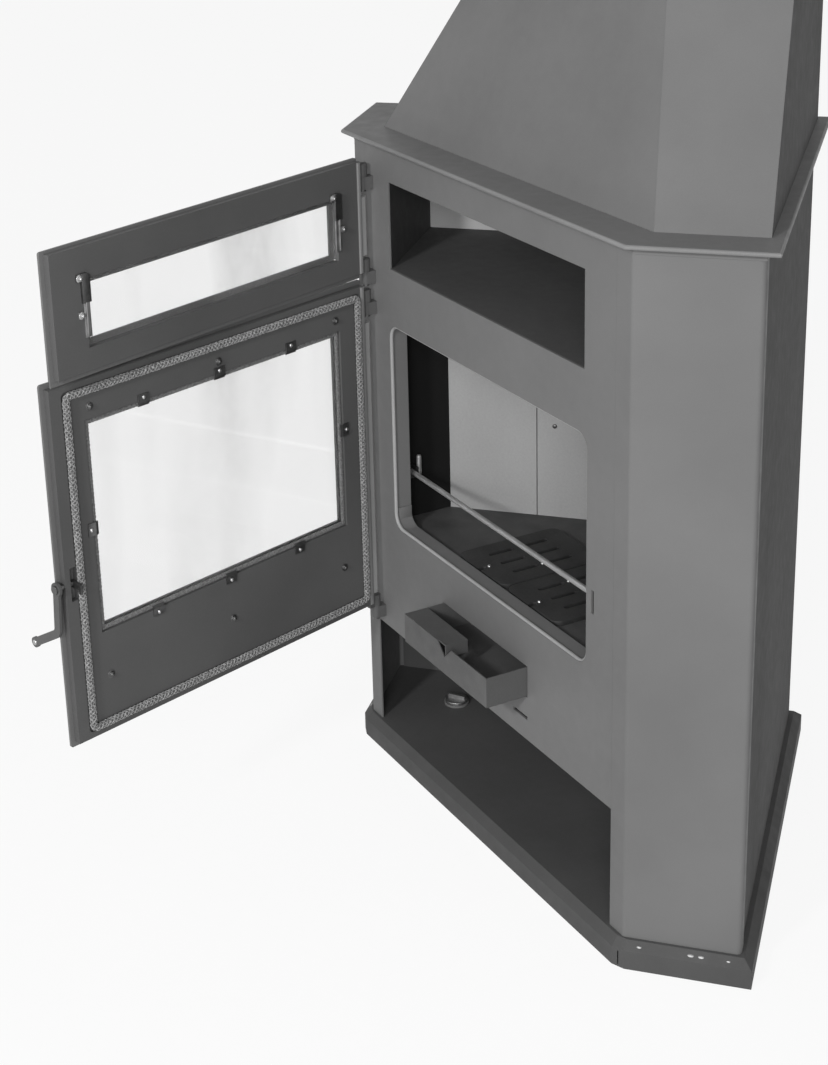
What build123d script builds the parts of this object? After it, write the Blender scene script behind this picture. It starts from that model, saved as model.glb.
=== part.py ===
from build123d import *
import os
from math import cos, radians, sin, sqrt

# Corner wood stove in sheet steel: wood store, firebox, warming niche and hood.
# Origin on the floor, midway along the front face. Front looks to -Y, up is +Z. Millimetres.

# Footprint
front_width = 800.0
side_width = 178.0
sheet = 3.0
panel_sheet = 4.0
bend_radius = 8.0
front_flange = 36.0
rear_return = 25.0
rear_sheet = 2.5

# Heights from the floor
base_height = 45.0
wood_opening_top = 251.0
hearth_level = 450.0
fire_opening_bottom = 460.0
fire_opening_top = 836.0
firebox_ceiling = 900.0
niche_level = 935.0
niche_opening_top = 1085.0
body_top = 1135.0
top_thickness = 18.0
hood_height = 620.0

# Front openings
fire_opening_width = 590.0
niche_opening_width = 574.0
opening_radius = 25.0
jamb_depth = 30.0

# Trays under and over the body
base_overhang = 18.0
base_bevel = 13.0
base_corner_cut = 12.0
base_flange = 22.0
top_overhang = 20.0
top_bevel = 9.0
top_rim = 50.0

# Hood, as inward lean for each millimetre of height
hood_setback = 48.0
hood_front_lean = 0.41
hood_side_lean = 0.636

# Flue
flue_radius = 90.0
flue_wall = 2.0
flue_front_y = 330.0
flue_rear_y = 455.0
flue_bend_start = 1230.0
flue_bend_end = 1480.0
flue_bend_radius = 170.0
flue_spigot = 60.0
flange_radius = 118.0
flange_sheet = 4.0

# Firebox
fire_half_width = 336.0
fire_side_depth = 133.0
lining = 8.0
fire_sheet = 5.0
hearth_sheet = 6.0
lining_top = 842.0
lining_count = 3
lining_seam = 1.6
screw_radius = 3.5
screw_height = 2.0
grate_width = 150.0
grate_depth = 200.0
grate_thickness = 8.0
grate_gap = 3.0
grate_y = 140.0
grate_slot = 9.0
baffle_thickness = 8.0
baffle_level = 852.0
baffle_front_y = 110.0
support_height = 10.0

# Log retainer
bar_radius = 4.5
bar_y = 50.0
bar_z = 545.0
bracket_reach = 26.0

# Ash drawer, drawn at its half open place
drawer_width = 261.0
drawer_length = 290.0
drawer_bottom = 330.0
drawer_height = 52.0
drawer_sheet = 2.0
drawer_out = 75.0
drawer_gap = 2.0
notch_width = 44.0
notch_depth = 22.0
finger_depth = 42.0
ash_box_length = 300.0

# Slots in the front
air_slot_width = 42.0
air_slot_height = 6.0
air_slot_x = 111.0
air_slot_z = 290.0
latch_slot_width = 7.0
latch_slot_height = 38.0
latch_height = 575.0

# Air valve in the wood store floor
valve_x = -342.0
valve_y = 146.0
valve_radius = 21.0
valve_seat_height = 4.0
valve_cap_height = 5.0
valve_bar_height = 7.0
valve_bar_width = 6.0
valve_stem_radius = 5.0

# Doors, hinged on the left, drawn open
hinge_x = -344.0
hinge_reach = 16.0
door_width = 680.0
hinge_clear = 10.0
fire_door_angle = -73.5
niche_door_angle = -71.0
fire_door_bottom = 292.0
fire_door_top = 906.0
niche_door_bottom = 916.0
niche_door_top = 1118.0
skin = 4.0
frame_depth = 12.0
frame_margin = 8.0
door_corner = 4.0
window_left = 82.0
window_right = 600.0
fire_window_bottom = 484.0
fire_window_top = 823.0
niche_window_bottom = 966.0
niche_window_top = 1053.0
rebate = 10.0
glass_thickness = 4.0
bead_depth = 5.0
rope_width = 14.0
rope_inset = 10.0
rope_free_side = 30.0
rope_groove = 4.0
clip_sheet = 2.5
clip_width = 12.0
clip_length = 26.0
long_clip_length = 96.0
bolt_radius = 4.5
bolt_height = 3.5
pin_radius = 4.0
knuckle_radius = 8.0
knuckle_length = 22.0
pin_head = 3.0
lever_pivot_w = -2.0
lever_sheet = 5.0
lever_width = 14.0
lever_drop = 77.0
lever_kick = 66.0
lever_end_drop = 38.0
hook_sheet = 4.0
hook_place = 25.0
knob_radius = 13.0
knob_length = 24.0

# Clearances
seat_gap = 0.3
run_gap = 0.05

# Values worked out from the sizes above
half_width = front_width / 2
side_step = side_width / sqrt(2)
apex_y = half_width + 2 * side_step
inner_height = body_top - base_height
rear_inset = sheet + rear_sheet
hood_bottom = body_top + top_thickness
hood_top = hood_bottom + hood_height
hinge_y = -hinge_reach
fire_corner_y = panel_sheet + fire_side_depth
fire_apex_y = fire_corner_y + fire_half_width
panel_edge = half_width - front_flange
bore_radius = flue_radius + seat_gap
skin_outer = skin + skin
frame_face = skin - frame_depth
pin_hole = pin_radius + run_gap


def plan_points(front, side, rear):
    """Corners of the footprint, moved inwards from its front, side and rear faces."""
    side_line = half_width - side * sqrt(2)
    rear_line = apex_y - rear * sqrt(2)
    right = [
        (side_line + front, front),
        ((rear_line + side_line) / 2, (rear_line - side_line) / 2),
    ]
    left = [(-x, y) for x, y in reversed(right)]
    return right + [(0, rear_line)] + left


def fire_points(out):
    """Corners of the firebox plan, moved outwards from the face of its lining."""
    right = [
        (fire_half_width + out, panel_sheet),
        (fire_half_width + out, fire_corner_y + out * (sqrt(2) - 1)),
    ]
    left = [(-x, y) for x, y in reversed(right)]
    return right + [(0, fire_apex_y + out * sqrt(2))] + left


def save(piece, label):
    """Names a finished piece and writes it."""
    piece.part.label = label
    export_step(piece.part, f"parts/{label}.step")


def save_mirrored(piece, label):
    """Writes the same piece for the other hand."""
    with BuildPart() as other:
        add(piece.part.mirror(Plane.YZ))
    save(other, label)


def leaf_plane(angle, w):
    """Plane of a door leaf: x along its width, y up, z outwards, w from the hinge axis."""
    turn = radians(angle)
    return Plane(
        origin=(hinge_x + w * sin(turn), hinge_y - w * cos(turn), 0),
        x_dir=(cos(turn), sin(turn), 0),
        z_dir=(sin(turn), -cos(turn), 0),
    )


def edge_plane(angle, u):
    """Plane across a door leaf at u from the hinge axis: x inwards, y up, z along the leaf."""
    turn = radians(angle)
    return Plane(
        origin=(hinge_x + u * cos(turn), hinge_y + u * sin(turn), 0),
        x_dir=(-sin(turn), cos(turn), 0),
        z_dir=(cos(turn), sin(turn), 0),
    )


def hinge_plane(z):
    """Level plane centred on the hinge axis."""
    return Plane(origin=(hinge_x, hinge_y, z))


os.makedirs("parts", exist_ok=True)

# Base tray with a bevelled rim and a flange turned in along the floor
with BuildPart() as base_plate:
    with BuildSketch():
        Polygon(*plan_points(-base_overhang, -base_overhang, -base_overhang), align=None)
    extrude(amount=base_height)
    chamfer(base_plate.edges().filter_by(Axis.Z).group_by(Axis.Y)[0], length=base_corner_cut)
    chamfer(base_plate.faces().sort_by(Axis.Z)[-1].edges(), length=base_bevel)
    rim = base_overhang - panel_sheet
    with BuildSketch(Plane.XY.offset(panel_sheet)):
        Polygon(*plan_points(-rim, -rim, -rim), align=None)
    extrude(amount=base_height - base_bevel - 2 * panel_sheet, mode=Mode.SUBTRACT)
    with BuildSketch(Plane.XY.offset(base_height - base_bevel - panel_sheet)):
        Polygon(*plan_points(0, 0, 0), align=None)
    extrude(amount=base_bevel, mode=Mode.SUBTRACT)
    with BuildSketch():
        Polygon(*plan_points(base_flange, base_flange, base_flange), align=None)
    extrude(amount=panel_sheet, mode=Mode.SUBTRACT)
save(base_plate, "base_plate")

# Top tray, which carries the hood
with BuildPart() as top_plate:
    with BuildSketch(Plane.XY.offset(body_top)):
        Polygon(*plan_points(-top_overhang, -top_overhang, -top_overhang), align=None)
    extrude(amount=top_thickness)
    chamfer(top_plate.faces().sort_by(Axis.Z)[-1].edges(), length=top_bevel)
    with BuildSketch(Plane.XY.offset(body_top)):
        Polygon(*plan_points(top_rim, top_rim, top_rim), align=None)
    extrude(amount=top_thickness - panel_sheet, mode=Mode.SUBTRACT)
    with BuildSketch(Plane.XY.offset(body_top)):
        with Locations((0, flue_front_y)):
            Circle(bore_radius)
    extrude(amount=top_thickness, mode=Mode.SUBTRACT)
save(top_plate, "top_plate")

# Front panel with its openings, drawer hole and slots
with BuildPart() as front_panel:
    with BuildSketch(Plane.XZ):
        with Locations((0, (wood_opening_top + body_top) / 2)):
            Rectangle(2 * panel_edge, body_top - wood_opening_top)
        with Locations((0, (fire_opening_bottom + fire_opening_top) / 2)):
            RectangleRounded(
                fire_opening_width,
                fire_opening_top - fire_opening_bottom,
                opening_radius,
                mode=Mode.SUBTRACT,
            )
        with Locations((0, (niche_level + niche_opening_top) / 2)):
            Rectangle(
                niche_opening_width, niche_opening_top - niche_level, mode=Mode.SUBTRACT
            )
        with Locations((0, drawer_bottom + drawer_height / 2)):
            Rectangle(
                drawer_width + 2 * drawer_gap,
                drawer_height + 2 * drawer_gap,
                mode=Mode.SUBTRACT,
            )
        with Locations((air_slot_x, air_slot_z)):
            Rectangle(air_slot_width, air_slot_height, mode=Mode.SUBTRACT)
        with Locations((hinge_x + door_width - hook_place, latch_height)):
            Rectangle(latch_slot_width, latch_slot_height, mode=Mode.SUBTRACT)
    extrude(amount=-panel_sheet)
save(front_panel, "front_panel")

# Side casing: front flange, 45 degree face and rear return from one bent sheet
with BuildPart() as right_side_casing:
    with BuildSketch(Plane.XY.offset(base_height)):
        with BuildLine():
            FilletPolyline(
                (panel_edge, 0),
                (half_width, 0),
                (half_width + side_step, side_step),
                (
                    half_width + side_step - rear_return / sqrt(2),
                    side_step + rear_return / sqrt(2),
                ),
                radius=bend_radius,
            )
            offset(amount=sheet, side=Side.LEFT)
        make_face()
    extrude(amount=inner_height)
save(right_side_casing, "right_side_casing")
save_mirrored(right_side_casing, "left_side_casing")

# Rear wall behind the return of the side casing, mitred at the corner of the room
with BuildPart() as right_rear_wall:
    wall_outer = plan_points(0, sheet + bend_radius, sheet)
    wall_inner = plan_points(0, sheet + bend_radius, rear_inset)
    with BuildSketch(Plane.XY.offset(base_height)):
        Polygon(wall_outer[1], wall_outer[2], wall_inner[2], wall_inner[1], align=None)
    extrude(amount=inner_height)
save(right_rear_wall, "right_rear_wall")
save_mirrored(right_rear_wall, "left_rear_wall")


def hood_panel(first, label):
    """One flat panel of the hood, mitred to its neighbours along the folds."""
    front_top = hood_setback + hood_front_lean * hood_height
    side_top = hood_setback + hood_side_lean * hood_height
    low = plan_points(hood_setback, hood_setback, 0)
    low_in = plan_points(hood_setback + sheet, hood_setback + sheet, sheet)
    high = plan_points(front_top, side_top, 0)
    high_in = plan_points(front_top + sheet, side_top + sheet, sheet)
    second = (first + 1) % len(low)
    with BuildPart() as panel:
        with BuildSketch(Plane.XY.offset(hood_bottom)):
            Polygon(low[first], low[second], low_in[second], low_in[first], align=None)
        with BuildSketch(Plane.XY.offset(hood_top)):
            Polygon(high[first], high[second], high_in[second], high_in[first], align=None)
        loft(ruled=True)
    save(panel, label)


# Hood of five panels, leaning back from the front and the sides
for place, name in enumerate(
    (
        "hood_right_panel",
        "hood_rear_right_panel",
        "hood_rear_left_panel",
        "hood_left_panel",
        "hood_front_panel",
    )
):
    hood_panel(place, name)

# Hood cap round the flue
with BuildPart() as hood_cap:
    with BuildSketch(Plane.XY.offset(hood_top)):
        Polygon(
            *plan_points(
                hood_setback + hood_front_lean * hood_height,
                hood_setback + hood_side_lean * hood_height,
                0,
            ),
            align=None,
        )
        with Locations((0, flue_rear_y)):
            Circle(bore_radius, mode=Mode.SUBTRACT)
    extrude(amount=sheet)
save(hood_cap, "hood_cap")

# Flue pipe with an offset inside the hood, ending flush with the cap
with BuildPart() as flue_pipe:
    with BuildLine() as flue_path:
        FilletPolyline(
            (0, flue_front_y, firebox_ceiling),
            (0, flue_front_y, flue_bend_start),
            (0, flue_rear_y, flue_bend_end),
            (0, flue_rear_y, hood_top + sheet),
            radius=flue_bend_radius,
        )
    with BuildSketch(Plane.XY.offset(firebox_ceiling)):
        with Locations((0, flue_front_y)):
            Circle(flue_radius)
            Circle(flue_radius - flue_wall, mode=Mode.SUBTRACT)
    sweep(path=flue_path.line)
save(flue_pipe, "flue_pipe")

# Collar on the hood cap: a flange and the spigot that takes the room's flue pipe
with BuildPart() as flue_collar:
    with BuildSketch(Plane.XY.offset(hood_top + sheet)):
        with Locations((0, flue_rear_y)):
            Circle(flange_radius)
    extrude(amount=flange_sheet)
    with BuildSketch(Plane.XY.offset(hood_top + sheet + flange_sheet)):
        with Locations((0, flue_rear_y)):
            Circle(flue_radius)
    extrude(amount=flue_spigot)
    with BuildSketch(Plane.XY.offset(hood_top + sheet)):
        with Locations((0, flue_rear_y)):
            Circle(flue_radius - flue_wall)
    extrude(amount=flange_sheet + flue_spigot, mode=Mode.SUBTRACT)
save(flue_collar, "flue_collar")

# Shelf over the wood store and floor of the warming niche
with BuildPart() as wood_store_ceiling:
    with BuildSketch(Plane.XY.offset(wood_opening_top)):
        Polygon(*plan_points(panel_sheet, 2 * sheet, rear_inset), align=None)
    extrude(amount=sheet)
save(wood_store_ceiling, "wood_store_ceiling")

with BuildPart() as niche_floor:
    with BuildSketch(Plane.XY.offset(niche_level - sheet)):
        Polygon(*plan_points(panel_sheet, 2 * sheet, rear_inset), align=None)
        with Locations((0, flue_front_y)):
            Circle(bore_radius, mode=Mode.SUBTRACT)
    extrude(amount=sheet)
save(niche_floor, "niche_floor")

# Niche cheek, from the side of the opening back to the rear wall at 45 degrees
with BuildPart() as niche_right_cheek:
    cheek_x = niche_opening_width / 2
    cheek_run = (apex_y - rear_inset * sqrt(2) - cheek_x - panel_sheet) / 2
    step = sheet * sqrt(2)
    with BuildSketch(Plane.XY.offset(niche_level)):
        Polygon(
            (cheek_x, panel_sheet),
            (cheek_x + step, panel_sheet),
            (cheek_x + cheek_run + step / 2, panel_sheet + cheek_run - step / 2),
            (cheek_x + cheek_run, panel_sheet + cheek_run),
            align=None,
        )
    extrude(amount=body_top - niche_level)
save(niche_right_cheek, "niche_right_cheek")
save_mirrored(niche_right_cheek, "niche_left_cheek")

# Firebox floor, open under the grate
with BuildPart() as firebox_floor:
    with BuildSketch(Plane.XY.offset(hearth_level - hearth_sheet)):
        Polygon(*fire_points(lining + fire_sheet), align=None)
        with Locations((0, grate_y)):
            Rectangle(
                2 * grate_width - 4 * hearth_sheet,
                grate_depth - 4 * hearth_sheet,
                mode=Mode.SUBTRACT,
            )
    extrude(amount=hearth_sheet)
save(firebox_floor, "firebox_floor")

# Firebox walls, mitred where they meet
fire_inner = fire_points(lining)
fire_outer = fire_points(lining + fire_sheet)
with BuildPart() as firebox_right_wall:
    with BuildSketch(Plane.XY.offset(hearth_level)):
        Polygon(fire_inner[0], fire_outer[0], fire_outer[1], fire_inner[1], align=None)
    extrude(amount=firebox_ceiling - hearth_level)
save(firebox_right_wall, "firebox_right_wall")
save_mirrored(firebox_right_wall, "firebox_left_wall")

with BuildPart() as firebox_back_right:
    with BuildSketch(Plane.XY.offset(hearth_level)):
        Polygon(fire_inner[1], fire_outer[1], fire_outer[2], fire_inner[2], align=None)
    extrude(amount=firebox_ceiling - hearth_level)
save(firebox_back_right, "firebox_back_right")
save_mirrored(firebox_back_right, "firebox_back_left")

with BuildPart() as firebox_top:
    with BuildSketch(Plane.XY.offset(firebox_ceiling)):
        Polygon(*fire_outer, align=None)
        with Locations((0, flue_front_y)):
            Circle(bore_radius, mode=Mode.SUBTRACT)
    extrude(amount=fire_sheet)
save(firebox_top, "firebox_top")

# Jamb turned in round the fire opening
with BuildPart() as fire_frame:
    with BuildSketch(Plane.XZ.offset(-panel_sheet)):
        with Locations((0, (fire_opening_bottom + fire_opening_top) / 2)):
            RectangleRounded(
                fire_opening_width + 2 * sheet,
                fire_opening_top - fire_opening_bottom + 2 * sheet,
                opening_radius + sheet,
            )
            RectangleRounded(
                fire_opening_width,
                fire_opening_top - fire_opening_bottom,
                opening_radius,
                mode=Mode.SUBTRACT,
            )
    extrude(amount=-jamb_depth)
save(fire_frame, "fire_frame")

# Lining: a plate on each side wall and three panels on each back wall
with BuildPart() as right_side_lining:
    with BuildSketch(Plane.XY.offset(hearth_level)):
        Polygon(
            (fire_half_width, panel_sheet),
            (fire_half_width + lining, panel_sheet),
            (fire_half_width + lining, fire_corner_y),
            (fire_half_width, fire_corner_y),
            align=None,
        )
    extrude(amount=lining_top - hearth_level)
save(right_side_lining, "right_side_lining")
save_mirrored(right_side_lining, "left_side_lining")

back_face = Plane(
    origin=(-fire_half_width, fire_corner_y, 0), x_dir=(1, 1, 0), z_dir=(1, -1, 0)
)
panel_pitch = fire_half_width * sqrt(2) / lining_count
lining_middle = (hearth_level + lining_top) / 2
panel_places = [((n + 0.5) * panel_pitch, lining_middle) for n in range(lining_count)]
with BuildPart() as back_lining_left:
    with BuildSketch(back_face):
        with Locations(*panel_places):
            Rectangle(panel_pitch - lining_seam, lining_top - hearth_level)
    extrude(amount=-lining)
save(back_lining_left, "back_lining_left")
save_mirrored(back_lining_left, "back_lining_right")

# Screws near the top of each back panel
with BuildPart() as lining_screws_left:
    with BuildSketch(back_face):
        for along, _ in panel_places:
            for offset_along in (-panel_pitch / 4, panel_pitch / 4):
                with Locations((along + offset_along, lining_top - panel_pitch / 2)):
                    Circle(screw_radius)
    extrude(amount=screw_height)
with BuildPart() as lining_screws:
    add(lining_screws_left.part)
    add(lining_screws_left.part.mirror(Plane.YZ))
save(lining_screws, "lining_screws")

# Cast grate plates with slots and a lifting notch
with BuildPart() as grate_right:
    with BuildSketch(Plane.XY.offset(hearth_level)):
        with Locations(((grate_width + grate_gap) / 2, grate_y)):
            RectangleRounded(grate_width, grate_depth, 2 * grate_slot)
            with GridLocations(grate_width / 4, grate_depth / 3, 3, 2):
                SlotOverall(grate_depth / 4, grate_slot, rotation=90, mode=Mode.SUBTRACT)
        with Locations(((grate_width + grate_gap) / 2, grate_y - grate_depth / 2)):
            SlotOverall(3 * grate_slot, grate_slot, rotation=90, mode=Mode.SUBTRACT)
    extrude(amount=grate_thickness)
    fillet(grate_right.faces().sort_by(Axis.Z)[-1].outer_wire().edges(), radius=1.5)
save(grate_right, "grate_right")
save_mirrored(grate_right, "grate_left")

# Baffle plate over the fire and the ledges that carry it
with BuildPart() as baffle:
    inner = fire_points(lining - seat_gap)
    with BuildSketch(Plane.XY.offset(baffle_level)):
        Polygon(
            (inner[1][0], baffle_front_y),
            inner[1],
            (inner[1][0] - fire_side_depth, inner[1][1] + fire_side_depth),
            (-inner[1][0] + fire_side_depth, inner[1][1] + fire_side_depth),
            inner[3],
            (inner[3][0], baffle_front_y),
            align=None,
        )
    extrude(amount=baffle_thickness)
save(baffle, "baffle")

with BuildPart() as baffle_supports_right:
    with BuildSketch(Plane.XY.offset(lining_top)):
        with Locations((fire_half_width, (baffle_front_y + fire_corner_y) / 2)):
            Rectangle(2 * lining, fire_corner_y - baffle_front_y)
    extrude(amount=support_height)
with BuildPart() as baffle_supports:
    add(baffle_supports_right.part)
    add(baffle_supports_right.part.mirror(Plane.YZ))
save(baffle_supports, "baffle_supports")

# Brackets with a cradle for the log retainer
with BuildPart() as log_bracket_right:
    with BuildSketch(Plane.YZ.offset(fire_half_width - bracket_reach)):
        with Locations((bar_y, bar_z)):
            Rectangle(4 * bar_radius, 4 * bar_radius)
            Circle(bar_radius + seat_gap, mode=Mode.SUBTRACT)
        with Locations((bar_y, bar_z + 2 * bar_radius)):
            Rectangle(2 * (bar_radius + seat_gap), 4 * bar_radius, mode=Mode.SUBTRACT)
    extrude(amount=bracket_reach)
with BuildPart() as log_brackets:
    add(log_bracket_right.part)
    add(log_bracket_right.part.mirror(Plane.YZ))
save(log_brackets, "log_brackets")

# Round bar that keeps the logs in, lifted out upwards
bar_length = 2 * (fire_half_width - seat_gap)
with BuildPart() as log_retainer:
    with BuildSketch(Plane.YZ.offset(-bar_length / 2)):
        with Locations((bar_y, bar_z)):
            Circle(bar_radius)
    extrude(amount=bar_length)
save(log_retainer, "log_retainer")

# Ash box that hangs under the firebox floor and guides the drawer
box_bottom = drawer_bottom - drawer_gap - sheet
box_half = drawer_width / 2 + drawer_gap
with BuildPart() as ash_box:
    with BuildSketch(Plane.XY.offset(box_bottom)):
        with Locations((0, panel_sheet + (ash_box_length + sheet) / 2)):
            Rectangle(2 * (box_half + sheet), ash_box_length + sheet)
    extrude(amount=hearth_level - hearth_sheet - box_bottom)
    with BuildSketch(Plane.XY.offset(box_bottom + sheet)):
        with Locations((0, panel_sheet + ash_box_length / 2)):
            Rectangle(2 * box_half, ash_box_length)
    extrude(amount=hearth_level - box_bottom, mode=Mode.SUBTRACT)
save(ash_box, "ash_box")

# Two runner strips on the box floor, under the drawer
with BuildPart() as drawer_runners:
    with BuildSketch(Plane.XY.offset(drawer_bottom - drawer_gap)):
        with Locations((0, panel_sheet + ash_box_length / 2)):
            with GridLocations(drawer_width - 4 * lining, 0, 2, 1):
                Rectangle(lining, ash_box_length)
    extrude(amount=drawer_gap - seat_gap)
save(drawer_runners, "drawer_runners")

# Ash drawer, an open tray with a notch in its front wall
drawer_front = -drawer_out
with BuildPart() as ash_drawer:
    with BuildSketch(Plane.XY.offset(drawer_bottom)):
        with Locations((0, drawer_front + drawer_length / 2)):
            Rectangle(drawer_width, drawer_length)
    extrude(amount=drawer_height)
    with BuildSketch(Plane.XY.offset(drawer_bottom + drawer_sheet)):
        with Locations((0, drawer_front + drawer_length / 2)):
            Rectangle(drawer_width - 2 * drawer_sheet, drawer_length - 2 * drawer_sheet)
    extrude(amount=drawer_height, mode=Mode.SUBTRACT)
    drawer_rim = drawer_bottom + drawer_height
    with BuildSketch(Plane.XZ.offset(-drawer_front)):
        Polygon(
            (-notch_width / 2, drawer_rim),
            (0, drawer_rim - notch_depth),
            (notch_width / 2, drawer_rim),
            align=None,
        )
    extrude(amount=-drawer_sheet, mode=Mode.SUBTRACT)
save(ash_drawer, "ash_drawer")

# Finger plate folded over the left half of the drawer, with a turned down edge
with BuildPart() as drawer_finger_plate:
    plate_width = drawer_width / 2 - drawer_sheet - seat_gap
    with BuildSketch(Plane.XZ.offset(-drawer_front - drawer_sheet)):
        Polygon(
            (-seat_gap - plate_width, drawer_rim - drawer_sheet),
            (-seat_gap, drawer_rim - drawer_sheet),
            (-seat_gap, drawer_rim - notch_depth - drawer_sheet),
            (drawer_sheet - seat_gap, drawer_rim - notch_depth - drawer_sheet),
            (drawer_sheet - seat_gap, drawer_rim),
            (-seat_gap - plate_width, drawer_rim),
            align=None,
        )
    extrude(amount=-finger_depth)
save(drawer_finger_plate, "drawer_finger_plate")

# Air valve: a seat on the floor of the wood store and a cap that turns on it
valve_plane = Plane(origin=(valve_x, valve_y, base_height))
valve_cap_plane = valve_plane.offset(valve_seat_height + seat_gap)
with BuildPart() as air_valve_seat:
    with BuildSketch(valve_plane):
        Circle(valve_radius + 2)
        Circle(valve_stem_radius + run_gap, mode=Mode.SUBTRACT)
    extrude(amount=valve_seat_height)
save(air_valve_seat, "air_valve_seat")

with BuildPart() as air_valve_cap:
    with BuildSketch(valve_cap_plane):
        Circle(valve_radius)
    extrude(amount=valve_cap_height)
    fillet(air_valve_cap.faces().sort_by(Axis.Z)[-1].edges(), radius=1.5)
    with BuildSketch(valve_cap_plane.offset(valve_cap_height)):
        SlotOverall(2 * valve_radius - valve_bar_width, valve_bar_width, rotation=35)
    extrude(amount=valve_bar_height)
    with BuildSketch(valve_plane.offset(seat_gap)):
        Circle(valve_stem_radius)
    extrude(amount=valve_seat_height)
save(air_valve_cap, "air_valve_cap")

# Hinge heights: each door knuckle stands on a fixed knuckle
fire_knuckles = (fire_door_bottom - 2, fire_door_top - 41)
niche_knuckles = (niche_door_bottom + 4, niche_door_top - 33)
with BuildPart() as hinge_brackets:
    for level in fire_knuckles + niche_knuckles:
        with BuildSketch(hinge_plane(level - knuckle_length - seat_gap)):
            Circle(knuckle_radius)
            with Locations((0, hinge_reach / 2)):
                Rectangle(2 * knuckle_radius, hinge_reach)
            Circle(pin_hole, mode=Mode.SUBTRACT)
        extrude(amount=knuckle_length)
save(hinge_brackets, "hinge_brackets")

with BuildPart() as hinge_pins:
    for level in fire_knuckles + niche_knuckles:
        pin_foot = level - knuckle_length - 2 * seat_gap
        with BuildSketch(hinge_plane(pin_foot - pin_head)):
            Circle(pin_radius + 2)
        extrude(amount=pin_head)
        with BuildSketch(hinge_plane(pin_foot)):
            Circle(pin_radius)
        extrude(amount=2 * (knuckle_length + seat_gap))
save(hinge_pins, "hinge_pins")


def ring(left, right, bottom, top, width, corner):
    """Flat ring of the given width inside a rounded rectangle."""
    with Locations(((left + right) / 2, (bottom + top) / 2)):
        RectangleRounded(right - left, top - bottom, corner)
        Rectangle(right - left - 2 * width, top - bottom - 2 * width, mode=Mode.SUBTRACT)


def window(grow, bottom, top, mode):
    """Window rectangle of a door, grown by a rebate."""
    with Locations(((window_left + window_right) / 2, (bottom + top) / 2)):
        Rectangle(
            window_right - window_left + 2 * grow, top - bottom + 2 * grow, mode=mode
        )


def door_skin(angle, bottom, top, low, high, label):
    """Outer sheet of a door, with its window."""
    with BuildPart() as door_sheet:
        with BuildSketch(leaf_plane(angle, skin)):
            with Locations(((hinge_clear + door_width) / 2, (bottom + top) / 2)):
                RectangleRounded(door_width - hinge_clear, top - bottom, door_corner)
            window(0, low, high, Mode.SUBTRACT)
        extrude(amount=skin)
    save(door_sheet, label)


def door_glass(angle, low, high, label):
    """Glass pane in the rebate behind the outer sheet."""
    with BuildPart() as pane:
        with BuildSketch(leaf_plane(angle, skin - seat_gap)):
            window(rebate - seat_gap, low, high, Mode.ADD)
        extrude(amount=-glass_thickness)
    save(pane, label)


def door_knuckles(angle, levels):
    """Knuckles of a door on the hinge axis, with the webs that join them to its frame."""
    with BuildPart() as knuckles:
        for level in levels:
            with BuildSketch(hinge_plane(level)):
                Circle(knuckle_radius)
            extrude(amount=knuckle_length)
            with BuildSketch(leaf_plane(angle, -knuckle_radius / 2)):
                with Locations(((hinge_clear + frame_margin) / 2, level + knuckle_length / 2)):
                    Rectangle(hinge_clear + frame_margin, knuckle_length)
            extrude(amount=knuckle_radius)
            with BuildSketch(hinge_plane(level)):
                Circle(pin_hole)
            extrude(amount=knuckle_length, mode=Mode.SUBTRACT)
    return knuckles.part


# Fire door: inner frame with the rope groove, knuckles and the pocket of the latch
frame_left = hinge_clear + frame_margin / 2
frame_right = door_width - frame_margin
hook_u = door_width - hook_place
rope_left = frame_left + rope_inset
rope_right = door_width - rope_free_side
rope_bottom = fire_door_bottom + frame_margin + rope_inset
rope_top = fire_door_top - frame_margin - rope_inset
rope_box = (rope_left, rope_right, rope_bottom, rope_top)
with BuildPart() as fire_door_frame:
    with BuildSketch(leaf_plane(fire_door_angle, frame_face)):
        with Locations(((frame_left + frame_right) / 2, (fire_door_bottom + fire_door_top) / 2)):
            Rectangle(
                frame_right - frame_left,
                fire_door_top - fire_door_bottom - 2 * frame_margin,
            )
        window(rebate, fire_window_bottom, fire_window_top, Mode.SUBTRACT)
        with Locations((hook_u, latch_height)):
            Rectangle(
                2 * latch_slot_width, 1.5 * latch_slot_height, mode=Mode.SUBTRACT
            )
    extrude(amount=frame_depth)
    with BuildSketch(leaf_plane(fire_door_angle, frame_face)):
        ring(*rope_box, rope_width, 2 * door_corner)
    extrude(amount=rope_groove, mode=Mode.SUBTRACT)
    add(door_knuckles(fire_door_angle, fire_knuckles))
    with BuildSketch(edge_plane(fire_door_angle, hook_u)):
        with Locations((-lever_pivot_w, latch_height)):
            Circle(pin_hole)
    extrude(amount=door_width - hook_u, mode=Mode.SUBTRACT)
save(fire_door_frame, "fire_door_frame")

door_skin(
    fire_door_angle,
    fire_door_bottom,
    fire_door_top,
    fire_window_bottom,
    fire_window_top,
    "fire_door_skin",
)
door_glass(fire_door_angle, fire_window_bottom, fire_window_top, "fire_door_glass")

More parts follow.
